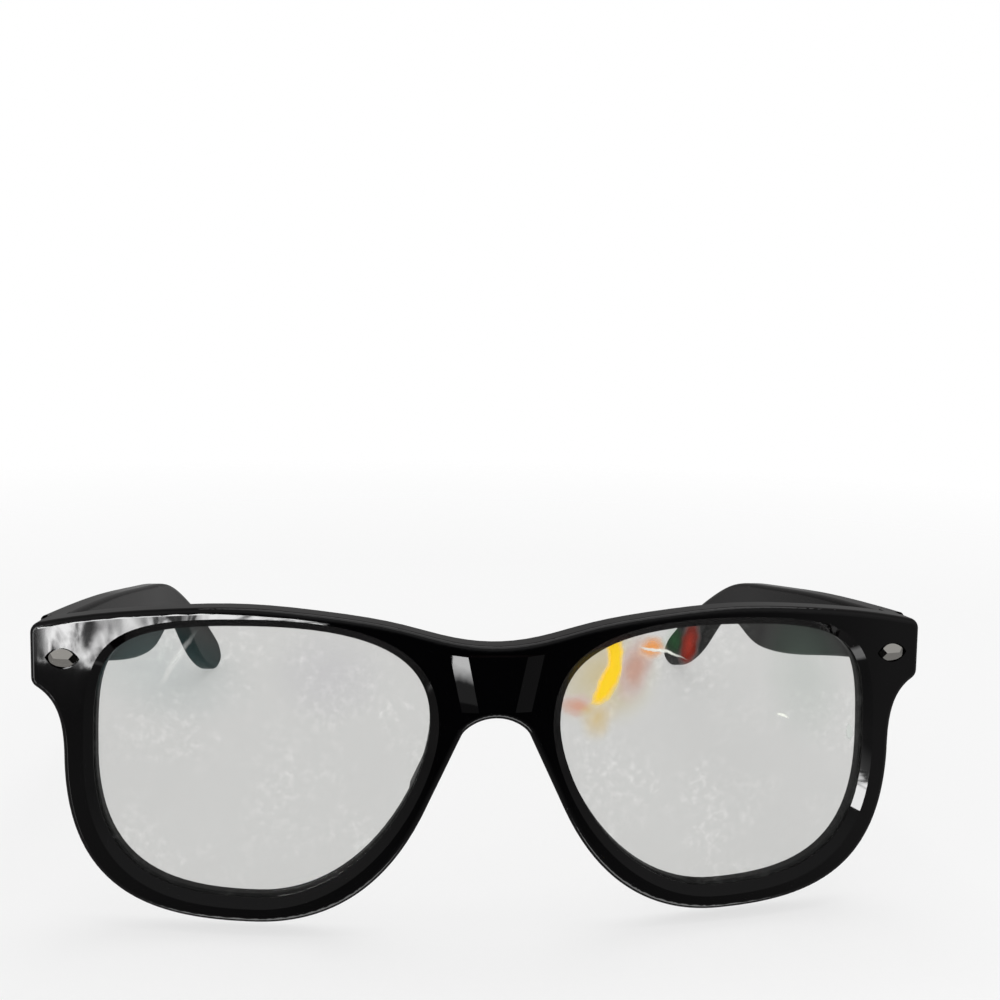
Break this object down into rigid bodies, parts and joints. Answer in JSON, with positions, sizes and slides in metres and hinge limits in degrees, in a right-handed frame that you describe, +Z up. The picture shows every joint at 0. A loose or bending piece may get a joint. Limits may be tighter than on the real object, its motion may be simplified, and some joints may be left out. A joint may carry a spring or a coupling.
{
  "type": "diffraction glasses",
  "caption": "Moulded plastic glasses with a diffraction grating film behind each clear lens, folding temples on metal hinges and metal corner inlays.",
  "frame": {"origin": "top of the nose arch, on the front face, midway between the lenses", "axes": "+X towards the wearer's left, +Y from the front towards the ears, +Z up as the open glasses stand on a table"},
  "size_m": [0.145, 0.1497, 0.0516],
  "materials": {
    "black_plastic": "high gloss",
    "clear_plastic": "clear",
    "film": "clear, iridescent",
    "inlay_metal": "polished",
    "hinge_metal": "satin"
  },
  "bodies": {
    "front": {"front_frame": "black_plastic", "lens_left": "clear_plastic", "lens_right": "clear_plastic", "grating_film_left": "film", "grating_film_right": "film", "corner_inlay_left": "inlay_metal", "corner_inlay_right": "inlay_metal", "front_hinge_leaf_left": "hinge_metal", "front_hinge_leaf_right": "hinge_metal", "hinge_screw_left": "hinge_metal", "hinge_screw_right": "hinge_metal"},
    "temple_left_body": {"temple_left": "black_plastic", "temple_hinge_leaf_left": "hinge_metal"},
    "temple_right_body": {"temple_right": "black_plastic", "temple_hinge_leaf_right": "hinge_metal"}
  },
  "joints": [
    {"name": "temple_left_fold", "type": "hinge", "parent": "front", "child": "temple_left_body", "pos_m": [0.0662, 0.01562, 0.00776], "axis": [0, 0.0576, 0.9983], "range_deg": [0, 83.7]},
    {"name": "temple_right_fold", "type": "hinge", "parent": "front", "child": "temple_right_body", "pos_m": [-0.0662, 0.01562, 0.00776], "axis": [0, -0.0576, -0.9983], "range_deg": [0, 90]}
  ]
}
